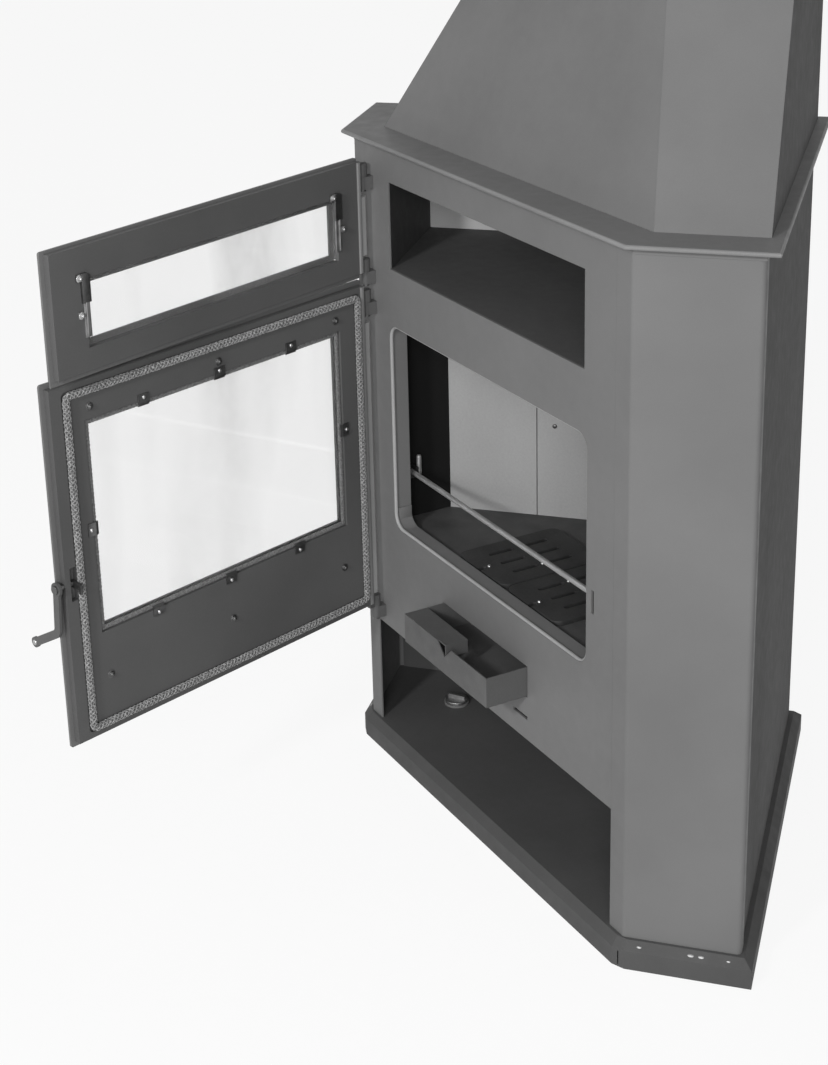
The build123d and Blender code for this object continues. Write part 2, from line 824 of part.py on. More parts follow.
# Rope seal in its groove, standing out to meet the front panel when shut
rope_stand = hinge_reach - seat_gap + frame_face + rope_groove - seat_gap
with BuildPart() as fire_door_rope:
    with BuildSketch(leaf_plane(fire_door_angle, frame_face + rope_groove - seat_gap)):
        ring(
            rope_left + seat_gap,
            rope_right - seat_gap,
            rope_bottom + seat_gap,
            rope_top - seat_gap,
            rope_width - 2 * seat_gap,
            2 * door_corner,
        )
    extrude(amount=-rope_stand)
    rope_inner_face = fire_door_rope.faces().filter_by(
        lambda face: face.normal_at().dot(leaf_plane(fire_door_angle, 0).z_dir) < -0.99
    )
    fillet(rope_inner_face.edges(), radius=rope_width / 4)
save(fire_door_rope, "fire_door_rope")

# Bead round the glass, and the clips and bolts that hold it
with BuildPart() as fire_door_bead:
    with BuildSketch(leaf_plane(fire_door_angle, -glass_thickness + skin - 2 * seat_gap)):
        window(rebate - seat_gap, fire_window_bottom, fire_window_top, Mode.ADD)
        window(0, fire_window_bottom, fire_window_top, Mode.SUBTRACT)
    extrude(amount=-bead_depth)
save(fire_door_bead, "fire_door_bead")

window_span = window_right - window_left
level_clips = [window_left + window_span * share for share in (0.2, 0.5, 0.8)]
side_clip_z = (fire_window_bottom + fire_window_top) / 2
with BuildPart() as fire_door_clips:
    with BuildSketch(leaf_plane(fire_door_angle, frame_face)):
        for along in level_clips:
            with Locations(
                (along, fire_window_top + rebate), (along, fire_window_bottom - rebate)
            ):
                Rectangle(clip_length, clip_width)
        with Locations(
            (window_left - rebate, side_clip_z), (window_right + rebate, side_clip_z)
        ):
            Rectangle(clip_width, clip_length)
    extrude(amount=-clip_sheet)
save(fire_door_clips, "fire_door_clips")

# Bolt heads on the inner face of the fire door
bolt_row_top = (fire_window_top + rope_top - rope_width) / 2 + rebate / 2
bolt_row_bottom = (rope_bottom + fire_window_bottom) / 2
with BuildPart() as fire_door_bolts:
    for height in (bolt_row_top, bolt_row_bottom):
        for along in (window_left, (window_left + window_right) / 2, window_right):
            with BuildSketch(leaf_plane(fire_door_angle, frame_face)):
                with Locations((along, height)):
                    Circle(bolt_radius)
            extrude(amount=-bolt_height)
save(fire_door_bolts, "fire_door_bolts")

# Handle: pin and hook in one piece, turned by a cranked lever at the free edge
lever_u = door_width + 2
lever_foot = (-lever_pivot_w - 6, latch_height - lever_drop)
lever_end = (-lever_pivot_w - lever_kick - 4, lever_foot[1] - lever_end_drop)
with BuildPart() as handle_lever:
    with BuildSketch(edge_plane(fire_door_angle, lever_u)):
        with BuildLine():
            FilletPolyline(
                (-lever_pivot_w, latch_height), lever_foot, lever_end, radius=lever_width
            )
        trace(line_width=lever_width)
        with Locations((-lever_pivot_w, latch_height)):
            Circle(0.8 * lever_width)
        with Locations(lever_end):
            Circle(0.62 * lever_width)
        with Locations((-lever_pivot_w, latch_height)):
            Circle(pin_hole, mode=Mode.SUBTRACT)
    extrude(amount=lever_sheet)
save(handle_lever, "handle_lever")

hook_reach = hinge_reach + panel_sheet + 6 + lever_pivot_w
hub_radius = pin_radius + 1.5
with BuildPart() as handle_pin:
    with BuildSketch(edge_plane(fire_door_angle, hook_u - hook_sheet / 2)):
        with Locations((-lever_pivot_w, latch_height)):
            Circle(pin_radius)
    extrude(amount=lever_u + lever_sheet + seat_gap - hook_u + hook_sheet / 2)
    with BuildSketch(edge_plane(fire_door_angle, lever_u + lever_sheet + seat_gap)):
        with Locations((-lever_pivot_w, latch_height)):
            Circle(pin_radius + 3)
    extrude(amount=pin_head)
    with BuildSketch(edge_plane(fire_door_angle, hook_u - hook_sheet / 2)):
        with Locations((-lever_pivot_w, latch_height)):
            Circle(hub_radius)
            Polygon(
                (0, hub_radius),
                (hook_reach / 2, hub_radius),
                (hook_reach, pin_radius),
                (hook_reach, -3 * pin_radius),
                (hook_reach - 5, -3 * pin_radius),
                (hook_reach - 5, -pin_radius - 1),
                (0, -hub_radius),
                align=None,
            )
    extrude(amount=hook_sheet)
save(handle_pin, "handle_pin")

# Niche door: sheet, inner frame, glass with two long clips, and a knob outside
with BuildPart() as niche_door_frame:
    with BuildSketch(leaf_plane(niche_door_angle, frame_face)):
        with Locations(
            ((frame_left + frame_right) / 2, (niche_door_bottom + niche_door_top) / 2)
        ):
            Rectangle(
                frame_right - frame_left,
                niche_door_top - niche_door_bottom - frame_margin,
            )
        window(rebate, niche_window_bottom, niche_window_top, Mode.SUBTRACT)
    extrude(amount=frame_depth)
    add(door_knuckles(niche_door_angle, niche_knuckles))
save(niche_door_frame, "niche_door_frame")

door_skin(
    niche_door_angle,
    niche_door_bottom,
    niche_door_top,
    niche_window_bottom,
    niche_window_top,
    "niche_door_skin",
)
door_glass(niche_door_angle, niche_window_bottom, niche_window_top, "niche_door_glass")

clip_middle = (niche_window_bottom + niche_window_top) / 2
with BuildPart() as niche_door_clips:
    with BuildSketch(leaf_plane(niche_door_angle, frame_face)):
        with Locations(
            (window_left - rebate, clip_middle + clip_width),
            (window_right + rebate, clip_middle + clip_width),
        ):
            Rectangle(clip_width, long_clip_length)
    extrude(amount=-clip_sheet)
save(niche_door_clips, "niche_door_clips")

with BuildPart() as niche_door_bolts:
    for along in (window_left - rebate, window_right + rebate):
        for height in (clip_middle, clip_middle + clip_width + long_clip_length / 2 - 8):
            with BuildSketch(leaf_plane(niche_door_angle, frame_face - clip_sheet)):
                with Locations((along, height)):
                    Circle(bolt_radius)
            extrude(amount=-bolt_height)
save(niche_door_bolts, "niche_door_bolts")

with BuildPart() as niche_door_knob:
    with BuildSketch(leaf_plane(niche_door_angle, skin_outer)):
        with Locations((door_width - 2 * frame_margin - knob_radius, clip_middle)):
            Circle(knob_radius / 2)
    extrude(amount=knob_length / 2)
    with BuildSketch(leaf_plane(niche_door_angle, skin_outer + knob_length / 2)):
        with Locations((door_width - 2 * frame_margin - knob_radius, clip_middle)):
            Circle(knob_radius)
    extrude(amount=knob_length / 2)
    knob_cap = niche_door_knob.faces().filter_by(GeomType.PLANE).sort_by(
        Axis(origin=(0, 0, 0), direction=leaf_plane(niche_door_angle, 0).z_dir)
    )[-1]
    fillet(knob_cap.edges(), radius=knob_length / 6)
save(niche_door_knob, "niche_door_knob")
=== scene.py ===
from math import cos, pi, radians, sin, sqrt

import bmesh
import bpy
from mathutils import Matrix, Vector, noise


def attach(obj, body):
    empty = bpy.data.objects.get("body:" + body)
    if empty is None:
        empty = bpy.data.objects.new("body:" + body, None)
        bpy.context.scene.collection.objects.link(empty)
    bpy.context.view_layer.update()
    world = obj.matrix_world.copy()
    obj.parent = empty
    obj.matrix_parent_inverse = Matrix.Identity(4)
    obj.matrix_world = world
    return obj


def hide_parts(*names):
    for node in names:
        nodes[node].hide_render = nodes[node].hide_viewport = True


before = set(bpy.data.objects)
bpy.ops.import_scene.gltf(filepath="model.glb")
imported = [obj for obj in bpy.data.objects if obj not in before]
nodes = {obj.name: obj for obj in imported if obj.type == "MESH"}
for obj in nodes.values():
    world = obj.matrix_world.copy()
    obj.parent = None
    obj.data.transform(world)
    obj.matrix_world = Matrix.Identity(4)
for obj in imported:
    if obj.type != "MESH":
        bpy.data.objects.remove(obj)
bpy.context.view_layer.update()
MM = 0.001

# Door leaves, in millimetres along the leaf (u), up (v) and outwards (w)
HINGE_X, HINGE_Y = -344.0, -16.0
FIRE_ANGLE, NICHE_ANGLE = -73.5, -71.0
FRAME_FACE = -8.0
ROPE_LEFT, ROPE_RIGHT, ROPE_BOTTOM, ROPE_TOP = 24.0, 650.0, 310.0, 888.0
ROPE_WIDTH, ROPE_INNER, ROPE_OUTER = 14.0, -15.7, -4.3
WINDOW_LEFT, WINDOW_RIGHT = 82.0, 600.0
FIRE_WINDOW_BOTTOM, FIRE_WINDOW_TOP = 484.0, 823.0
NICHE_WINDOW_BOTTOM, NICHE_WINDOW_TOP = 966.0, 1053.0
REBATE = 10.0
GASKET_INNER, GASKET_OUTER = -5.6, -0.6
BOLT_HEIGHTS = (853.5, 397.0)
FIRE_FOLD_ENDS, NICHE_FOLD_ENDS = (301.0, 897.0), (921.0, 1113.0)
FIRE_CURL_ENDS, NICHE_CURL_ENDS = (320.0, 830.0), (950.0, 1052.0)
LIP_LEFT, LIP_RIGHT, LIP_BOTTOM, LIP_TOP = 11.0, 679.0, 908.5, 917.0
LEVER_END = Vector((687.0, 460.0, 68.0))

# Body of the stove, in millimetres
FIRE_HALF, FIRE_BOTTOM, FIRE_TOP, FIRE_RADIUS = 295.0, 460.0, 836.0, 25.0
GRATE_TOP, GRATE_PINS = 457.8, ((76.5, 59.0), (39.0, 140.0))
PEG_X, PEG_Y, PEG_FOOT = 318.0, 64.0, 538.0
LINING_HALF, LINING_CORNER_Y, LINING_TOP, LINING_PANELS = 336.0, 137.0, 842.0, 3
LOW_SCREW_HEIGHT = 622.0
HALF_WIDTH, SIDE_WIDTH = 400.0, 178.0
BODY_TOP, TOP_THICKNESS, TOP_OVERHANG = 1135.0, 18.0, 20.0
FLUE_Y, FLUE_BORE = 330.0, 90.3
REAR_INSET, NICHE_LEVEL, NICHE_REAR_RUN = 5.5, 935.0, 655.0
BASE_HEIGHT, BASE_BEVEL, BASE_OVERHANG = 45.0, 13.0, 18.0
WELD_SHARES = (0.16, 0.56, 0.64, 0.85)

# Edges sharper than this stay crisp, in degrees
SHARP_ANGLE = 40.0

# Camera and lights, in metres, degrees and watts
CAMERA_PLACE = Vector((2.5332, -1.5284, 1.9425))
CAMERA_YAW, CAMERA_PITCH, CAMERA_ROLL = 64.391, 19.688, -2.587
CAMERA_LENS, CAMERA_SHIFT_X, CAMERA_SHIFT_Y = 67.94, 0.109, -0.170
KEY_PLACE, KEY_TARGET = Vector((2.0, -3.9, 2.9)), Vector((0.0, 0.1, 0.8))
KEY_SIZE, KEY_POWER = 0.5, 105.0
SIDE_PLACE, SIDE_TARGET = Vector((4.2, -3.0, 2.6)), Vector((0.1, 0.1, 0.9))
SIDE_SIZE, SIDE_POWER = 2.2, 150.0
FLOOR_HALF, FLOOR_GLOW, WORLD_LIGHT = 40.0, 0.9, 0.3


# Node helpers for the materials


def new_material(name):
    """A material with its node tree and its surface shader."""
    made = bpy.data.materials.new(name)
    made.use_nodes = True
    tree = made.node_tree
    return made, tree, tree.nodes["Principled BSDF"]


def add_node(tree, kind, inputs=(), **settings):
    """A node whose inputs are set to values or linked to sockets."""
    made = tree.nodes.new(kind)
    for key, value in settings.items():
        setattr(made, key, value)
    for key, value in dict(inputs).items():
        if isinstance(value, bpy.types.NodeSocket):
            tree.links.new(value, made.inputs[key])
        else:
            made.inputs[key].default_value = value
    return made


def local_place(tree, stretch=(1, 1, 1)):
    """Object coordinates, stretched along an axis for grain or brushing."""
    place = add_node(tree, "ShaderNodeTexCoord").outputs["Object"]
    return add_node(tree, "ShaderNodeMapping", {"Vector": place, "Scale": stretch}).outputs[0]


def grain(tree, place, scale, detail=3.0, roughness=0.5):
    """A noise value about one half."""
    values = {"Vector": place, "Scale": scale, "Detail": detail, "Roughness": roughness}
    return add_node(tree, "ShaderNodeTexNoise", values).outputs["Fac"]


def level(tree, value, low, high, start=0.3, end=0.7):
    """A value spread from low to high."""
    values = {"Value": value, "From Min": start, "From Max": end, "To Min": low, "To Max": high}
    return add_node(tree, "ShaderNodeMapRange", values).outputs[0]


def math_node(tree, operation, first, second):
    """The result of one operation on two values."""
    return add_node(tree, "ShaderNodeMath", {0: first, 1: second}, operation=operation).outputs[0]


def mixed(tree, first, second, share):
    """Two noise values added, the first of them by a share of the whole."""
    return math_node(tree, "ADD", level(tree, first, 0.0, share), level(tree, second, 0.0, 1 - share))


def tone(tree, value, stops):
    """A grey ramp from (place, grey) stops."""
    ramp = add_node(tree, "ShaderNodeValToRGB", {"Fac": value})
    points = ramp.color_ramp.elements
    while len(points) < len(stops):
        points.new(0.5)
    for point, (place, grey) in zip(points, stops):
        point.position = place
        point.color = (grey, grey, grey, 1)
    return ramp.outputs["Color"]


def set_surface(tree, surface, **inputs):
    """Sets or links sockets of the surface shader, with _ for a space in their names."""
    for key, value in inputs.items():
        socket = surface.inputs[key.replace("_", " ")]
        if isinstance(value, bpy.types.NodeSocket):
            tree.links.new(value, socket)
        else:
            socket.default_value = value


def relief(tree, height, strength, distance, soften=0.0):
    """Bump from a height, over edges softened by a small radius."""
    values = {"Height": height, "Strength": strength, "Distance": distance}
    if soften:
        edge = add_node(tree, "ShaderNodeBevel", {"Radius": soften}, samples=4)
        values["Normal"] = edge.outputs[0]
    return add_node(tree, "ShaderNodeBump", values).outputs[0]


# Materials


def paint(name, dark, light, rough=0.58, soften=0.0012):
    """Satin stove paint with a fine sandy grain and soft clouds."""
    made, tree, surface = new_material(name)
    place = local_place(tree)
    sand = grain(tree, place, 900.0, 2.0)
    cloud = grain(tree, place, 3.5, 4.0)
    set_surface(
        tree,
        surface,
        Base_Color=tone(tree, mixed(tree, sand, cloud, 0.35), ((0.1, dark), (0.9, light))),
        Roughness=level(tree, grain(tree, place, 45.0, 5.0), rough - 0.07, rough + 0.08),
        Specular_IOR_Level=0.2,
        Normal=relief(tree, sand, 0.12, 0.0003, soften),
    )
    return made


def lining_material(name, dark, light, soot):
    """Pale cast lining, pitted, with a veil of soot."""
    made, tree, surface = new_material(name)
    place = local_place(tree)
    fine = grain(tree, place, 260.0, 5.0, 0.65)
    veil = grain(tree, local_place(tree, (1, 1, 0.35)), 7.0, 4.0)
    pits = level(tree, fine, 0.82, 1.0)
    sooty = math_node(tree, "MULTIPLY", pits, level(tree, veil, 1 - soot, 1.0))
    set_surface(
        tree,
        surface,
        Base_Color=tone(tree, sooty, ((0.45, dark), (1.0, light))),
        Roughness=level(tree, fine, 0.82, 0.95),
        Specular_IOR_Level=0.15,
        Normal=relief(tree, fine, 0.35, 0.0006),
    )
    return made


def cast_iron_material(name, dark, light):
    """Dark castings with a coarse skin and ash in the hollows."""
    made, tree, surface = new_material(name)
    place = local_place(tree)
    coarse = grain(tree, place, 320.0, 4.0, 0.6)
    ash = grain(tree, place, 18.0, 5.0, 0.6)
    set_surface(
        tree,
        surface,
        Base_Color=tone(tree, mixed(tree, coarse, ash, 0.5), ((0.15, dark), (0.95, light))),
        Roughness=level(tree, coarse, 0.5, 0.72),
        Metallic=0.25,
        Normal=relief(tree, coarse, 0.45, 0.0006, 0.0012),
    )
    return made


def steel_material(name, dark, light, rough, stretch):
    """Bare steel, drawn or brushed along one axis."""
    made, tree, surface = new_material(name)
    brushed = grain(tree, local_place(tree, stretch), 500.0, 3.0, 0.6)
    stain = grain(tree, local_place(tree), 40.0, 4.0)
    set_surface(
        tree,
        surface,
        Base_Color=tone(tree, mixed(tree, brushed, stain, 0.5), ((0.1, dark), (0.9, light))),
        Metallic=1.0,
        Roughness=level(tree, brushed, rough - 0.08, rough + 0.1),
        Normal=relief(tree, brushed, 0.12, 0.0003, 0.0006),
    )
    return made


def fibre_material(name, dark, light):
    """Glass fibre yarn, speckled pale and dark."""
    made, tree, surface = new_material(name)
    place = local_place(tree)
    speckle = grain(tree, place, 330.0, 3.0, 0.7)
    yarn = grain(tree, place, 1500.0, 2.0)
    set_surface(
        tree,
        surface,
        Base_Color=tone(tree, mixed(tree, speckle, yarn, 0.75), ((0.25, dark), (0.75, light))),
        Roughness=level(tree, yarn, 0.75, 0.95),
        Sheen_Weight=0.25,
        Sheen_Roughness=0.5,
        Normal=relief(tree, yarn, 0.5, 0.0003),
    )
    return made


def glass_material(name, band_scale):
    """Clear stove glass with faint wiped bands of ash."""
    made, tree, surface = new_material(name)
    bands = grain(tree, local_place(tree, (1, 1, 0.12)), band_scale, 2.0)
    smear = grain(tree, local_place(tree, (1, 1, 0.6)), 22.0, 5.0, 0.6)
    wiped = level(tree, bands, 0.0, 1.0, 0.42, 0.62)
    haze = math_node(tree, "MULTIPLY", wiped, level(tree, smear, 0.6, 1.0))
    set_surface(
        tree,
        surface,
        Base_Color=tone(tree, haze, ((0.0, 0.98), (1.0, 0.8))),
        Roughness=level(tree, smear, 0.02, 0.07),
        IOR=1.46,
        Transmission_Weight=level(tree, haze, 0.99, 0.9, 0.0, 1.0),
    )
    return made


def plastic_material(name, dark, light):
    """Moulded heat-proof knob."""
    made, tree, surface = new_material(name)
    place = local_place(tree)
    skin = grain(tree, place, 700.0, 3.0)
    set_surface(
        tree,
        surface,
        Base_Color=tone(tree, grain(tree, place, 60.0, 3.0), ((0.3, dark), (0.7, light))),
        Roughness=level(tree, skin, 0.28, 0.42),
        Normal=relief(tree, skin, 0.1, 0.0002),
    )
    return made


BODY_PAINT = paint("body_paint", 0.135, 0.165)
# Body paint darkened for the rear walls and rear hood panels: painted shade on the faces turned away
# from the lamps.
SHADED_REAR_PAINT = paint("painted_shade_rear", 0.07, 0.1, 0.8)
# Lighter paint for the rolled edge of the fire opening and the hinge curls: a painted highlight.
HIGHLIGHT_EDGE_PAINT = paint("painted_highlight_edge", 0.26, 0.4, 0.4)
# Slightly lighter paint for the hinge folds and the rolled edge of the top: a painted highlight.
FOLD_HIGHLIGHT_PAINT = paint("painted_highlight_fold", 0.16, 0.23, 0.5)
# Pale paint for the back of the warming niche: painted light for the lit patch there.
NICHE_BACK_PAINTED_LIGHT = paint("painted_light_niche_back", 0.42, 0.5, 0.6)
DRAWER_PAINT = paint("drawer_paint", 0.075, 0.11, 0.5)
# Darker copy of the body paint for the niche floor and cheeks, the wood store ceiling and other inner
# parts: painted shade.
SHADED_INNER_PAINT = paint("painted_shade_inner", 0.06, 0.085, 0.66)
# Darker copy of the body paint for the door frames, hinge brackets and lever: painted shade.
SHADED_DOOR_PAINT = paint("painted_shade_door", 0.08, 0.11, 0.5, 0.0008)
FIREBOX_BLACK = paint("firebox_black", 0.006, 0.014, 0.85, 0.0)
LINING = lining_material("cast_lining", 0.24, 0.36, 0.18)
# Near-black copy of the lining for the side linings and baffle: painted shade, under the random veil
# of soot.
SHADED_LINING = lining_material("painted_shade_lining", 0.004, 0.012, 0.3)
HEARTH_IRON = cast_iron_material("hearth_iron", 0.045, 0.1)
GRATE_IRON = cast_iron_material("grate_iron", 0.015, 0.045)
BRIGHT_STEEL = steel_material("bright_steel", 0.42, 0.62, 0.28, (1, 1, 1))
ZINC = steel_material("zinc_plate", 0.2, 0.42, 0.5, (1, 1, 0.1))
DRAWN_STEEL = steel_material("drawn_steel", 0.38, 0.52, 0.62, (0.04, 1, 1))
DARK_STEEL = steel_material("dark_steel", 0.09, 0.18, 0.45, (1, 1, 1))
PALE_YARN = fibre_material("pale_yarn", 0.09, 0.4)
GASKET_YARN = fibre_material("gasket_yarn", 0.07, 0.22)
DARK_YARN = fibre_material("dark_yarn", 0.03, 0.16)
FIRE_GLASS = glass_material("fire_glass", 5.0)
NICHE_GLASS = glass_material("niche_glass", 6.5)
KNOB_PLASTIC = plastic_material("knob_plastic", 0.012, 0.028)

PLAIN_FINISH = {
    "painted_steel": BODY_PAINT,
    "lining": LINING,
    "cast_iron": HEARTH_IRON,
    "bare_steel": BRIGHT_STEEL,
    "rope": PALE_YARN,
    "glass": FIRE_GLASS,
    "knob": KNOB_PLASTIC,
}
NODE_FINISH = {
    # Inner parts of the body in the darkened paint, painted shade.
    SHADED_INNER_PAINT: (
        "base_plate",
        "niche_floor",
        "niche_left_cheek",
        "niche_right_cheek",
        "wood_store_ceiling",
        "ash_box",
        "drawer_runners",
    ),
    # Rear walls and rear hood panels in the darkened paint, painted shade.
    SHADED_REAR_PAINT: (
        "left_rear_wall",
        "right_rear_wall",
        "hood_rear_left_panel",
        "hood_rear_right_panel",
    ),
    # Door frames, hinge brackets and lever in the darkened paint, painted shade.
    SHADED_DOOR_PAINT: ("fire_door_frame", "niche_door_frame", "hinge_brackets", "handle_lever"),
    FIREBOX_BLACK: (
        "firebox_left_wall",
        "firebox_right_wall",
        "firebox_back_left",
        "firebox_back_right",
        "firebox_top",
        "baffle_supports",
        "flue_pipe",
    ),
    # Side linings and baffle in the near-black lining, painted shade.
    SHADED_LINING: ("left_side_lining", "right_side_lining", "baffle"),
    DRAWER_PAINT: ("ash_drawer", "drawer_finger_plate"),
    GRATE_IRON: ("grate_left", "grate_right"),
    DRAWN_STEEL: ("log_retainer",),
    ZINC: ("air_valve_cap",),
    DARK_STEEL: ("handle_pin", "hinge_pins", "log_brackets"),
    NICHE_GLASS: ("niche_door_glass",),
}


def finish_nodes():
    """Gives each carried-over solid its material."""
    special = {name: finish for finish, names in NODE_FINISH.items() for name in names}
    for name, solid in nodes.items():
        for holder in solid.material_slots:
            kind = holder.material.name.split(".")[0]
            holder.material = special.get(name, PLAIN_FINISH.get(kind, BODY_PAINT))


# Mesh helpers, in millimetres


def leaf_matrix(angle):
    """Place of a door leaf: u along it, v up, w outwards."""
    turn = radians(angle)
    along = Vector((cos(turn), sin(turn), 0))
    out = Vector((sin(turn), -cos(turn), 0))
    spot = Vector((HINGE_X, HINGE_Y, 0))
    return Matrix.Translation(spot) @ Matrix((along, (0, 0, 1), out)).transposed().to_4x4()


def facing(place, normal, side=(0, 0, 1)):
    """A place whose third axis is the normal, with its first near the side direction."""
    third = Vector(normal).normalized()
    first = (Vector(side) - third * Vector(side).dot(third)).normalized()
    second = third.cross(first)
    return Matrix.Translation(place) @ Matrix((first, second, third)).transposed().to_4x4()


def bridge(mesh, rings, close=False):
    """Skins a row of rings of points with quads."""
    rows = [[mesh.verts.new(point) for point in ring] for ring in rings]
    count = len(rows[0])
    pairs = list(zip(rows, rows[1:]))
    if close:
        pairs.append((rows[-1], rows[0]))
    for first, second in pairs:
        for n in range(count):
            m = (n + 1) % count
            mesh.faces.new((first[n], first[m], second[m], second[n]))
    return rows


def turned(mesh, place, profile, sides=24):
    """A turned or many-sided form from (radius, height) steps, closed at both ends."""
    facets = [2 * pi * n / sides for n in range(sides)]
    rings = []
    for radius, height in profile:
        rings.append([place @ Vector((radius * cos(a), radius * sin(a), height)) for a in facets])
    rows = bridge(mesh, rings)
    mesh.faces.new(reversed(rows[0]))
    mesh.faces.new(rows[-1])


def inset(outline, amount):
    """An outline moved inwards, for points that run anticlockwise."""
    found = []
    count = len(outline)
    for n in range(count):
        before, here, after = (Vector(outline[(n + k) % count]) for k in (-1, 0, 1))
        first = (here - before).normalized()
        second = (after - here).normalized()
        square = Vector((-first.y, first.x))
        inward = (square + Vector((-second.y, second.x))).normalized()
        found.append(here + inward * amount / max(0.3, inward.dot(square)))
    return found


def rectangle(left, right, bottom, top):
    """An anticlockwise outline."""
    return ((left, bottom), (right, bottom), (right, top), (left, top))


def dome(radius, foot, rise):
    """Steps of a rounded end for a turned form."""
    return [(radius * cos(a), foot + rise * sin(a)) for a in (0, 0.5, 1.0, 1.4)]


def ellipse(half_width, half_depth):
    """Section of eight points for a soft core."""
    return [(half_width * cos(0.25 * pi * n), half_depth * sin(0.25 * pi * n)) for n in range(8)]


def half_round(radius):
    """Section of a rolled edge, which faces inwards where the radius is negative."""
    return [(radius * sin(0.125 * pi * n), radius * cos(0.125 * pi * n)) for n in range(9)]


def plate(mesh, place, outline, low, high, bevel=0.6):
    """A sheet part from an anticlockwise outline, with its top edges eased."""
    steps = ((0.0, low), (0.0, high - bevel), (0.3 * bevel, high - 0.3 * bevel), (bevel, high))
    rings = []
    for amount, height in steps:
        rings.append([place @ Vector((x, y, height)) for x, y in inset(outline, amount)])
    rows = bridge(mesh, rings)
    mesh.faces.new(reversed(rows[0]))
    mesh.faces.new(rows[-1])


def hex_bolt(mesh, place, size, height):
    """Washer, hexagon and a rounded thread end."""
    washer, thread, thread_end = 1.35 * size, 0.52 * size, 1.2
    nut_top = 0.72 * height
    turned(mesh, place, ((washer, 0), (washer, 0.7), (1.25 * size, 1.0)))
    turned(mesh, place, ((size, 0.8), (size, nut_top - 0.5), (0.86 * size, nut_top)), sides=6)
    turned(mesh, place, [(thread, nut_top - 1)] + dome(thread, height - thread_end, thread_end))


def pan_screw(mesh, place, radius, height):
    """Domed head with a cross recess."""
    steps = [(radius, 0), (radius, 0.25 * height)]
    steps += [(radius * cos(a), 0.25 * height + 0.75 * height * sin(a)) for a in (0.4, 0.8, 1.15)]
    steps += [(0.2 * radius, height), (0.14 * radius, 0.45 * height)]
    turned(mesh, place, steps, sides=20)


def sweep(mesh, path, section, close=False):
    """A tube along a path of (point, side, rise) with a section of (side, rise) points."""
    rings = [[spot + side * a + rise * b for a, b in section] for spot, side, rise in path]
    rows = bridge(mesh, rings, close=close)
    if not close:
        mesh.faces.new(reversed(rows[0]))
        mesh.faces.new(rows[-1])


def loop_path(left, right, bottom, top, corner, step, lift):
    """Rounded rectangle in a leaf, as points with their outward side and rise."""
    corners = (
        (right - corner, top - corner, 0.0),
        (left + corner, top - corner, 0.5 * pi),
        (left + corner, bottom + corner, pi),
        (right - corner, bottom + corner, 1.5 * pi),
    )
    bends = 6
    turns = []
    for u, v, start in corners:
        for n in range(bends + 1):
            angle = start + 0.5 * pi * n / bends
            side = Vector((cos(angle), sin(angle), 0))
            turns.append((Vector((u, v, lift)) + side * corner, side))
    path = []
    for (spot, side), (after, side_after) in zip(turns, turns[1:] + turns[:1]):
        count = max(1, round((after - spot).length / step))
        for n in range(count):
            share = n / count
            path.append((spot.lerp(after, share), side.lerp(side_after, share).normalized()))
    rise = Vector((0, 0, 1))
    return [(spot, side, rise) for spot, side in path]


def braid(mesh, path, half_width, half_depth, strands, yarn, pitch, sides=5):
    """Yarns that wind both ways round a closed path, over and under each other."""
    lengths = [0.0]
    for (spot, _, _), (after, _, _) in zip(path, path[1:] + path[:1]):
        lengths.append(lengths[-1] + (after - spot).length)
    turns = round(lengths[-1] / pitch)
    facets = [2 * pi * n / sides for n in range(sides)]
    for strand in range(strands):
        way = 1 if strand % 2 else -1
        phase = 2 * pi * strand / strands
        rings = []
        for (spot, side, rise), length in zip(path, lengths):
            along = 2 * pi * turns * length / lengths[-1]
            angle = way * along + phase
            over = 1 + 0.09 * way * sin(strands * angle / 2 + along)
            reach_side = half_width * over * cos(angle)
            reach_rise = half_depth * over * sin(angle)
            middle = spot + side * reach_side + rise * reach_rise
            out = (side * cos(angle) + rise * sin(angle)).normalized()
            forward = side.cross(rise) * -1
            across = forward.cross(out)
            rings.append([middle + out * 0.7 * yarn * cos(a) + across * yarn * sin(a) for a in facets])
        bridge(mesh, rings, close=True)


def piece(name, mesh, body, finish, place=Matrix(), replaced=()):
    """Turns a mesh in millimetres into a piece of the part, carried by a body."""
    data = bpy.data.meshes.new(name)
    bmesh.ops.recalc_face_normals(mesh, faces=mesh.faces)
    mesh.to_mesh(data)
    mesh.free()
    data.transform(Matrix.Diagonal((MM, MM, MM, 1)) @ place)
    data.shade_smooth()
    data.set_sharp_from_angle(angle=radians(SHARP_ANGLE))
    made = bpy.data.objects.new(name, data)
    bpy.context.scene.collection.objects.link(made)
    data.materials.append(finish)
    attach(made, body)
    if replaced:
        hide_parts(*replaced)


def plan(out):
    """Corners of the footprint, moved outwards, from the right front corner round."""
    step = SIDE_WIDTH / sqrt(2)
    side_line = HALF_WIDTH + out * sqrt(2)
    rear_line = HALF_WIDTH + 2 * step + out * sqrt(2)
    right = [
        Vector((side_line - out, -out, 0)),
        Vector(((rear_line + side_line) / 2, (rear_line - side_line) / 2, 0)),
    ]
    left = [Vector((-corner.x, corner.y, 0)) for corner in reversed(right)]
    return right + [Vector((0, rear_line, 0))] + left


FIRE_LEAF = leaf_matrix(FIRE_ANGLE)
NICHE_LEAF = leaf_matrix(NICHE_ANGLE)


def inner_face(u, v, side=(1, 0, 0)):
    """A place on the inner side of a leaf, looking inwards."""
    return facing(Vector((u, v, FRAME_FACE)), (0, 0, -1), side)


# Rope seal and glass gasket of the fire door


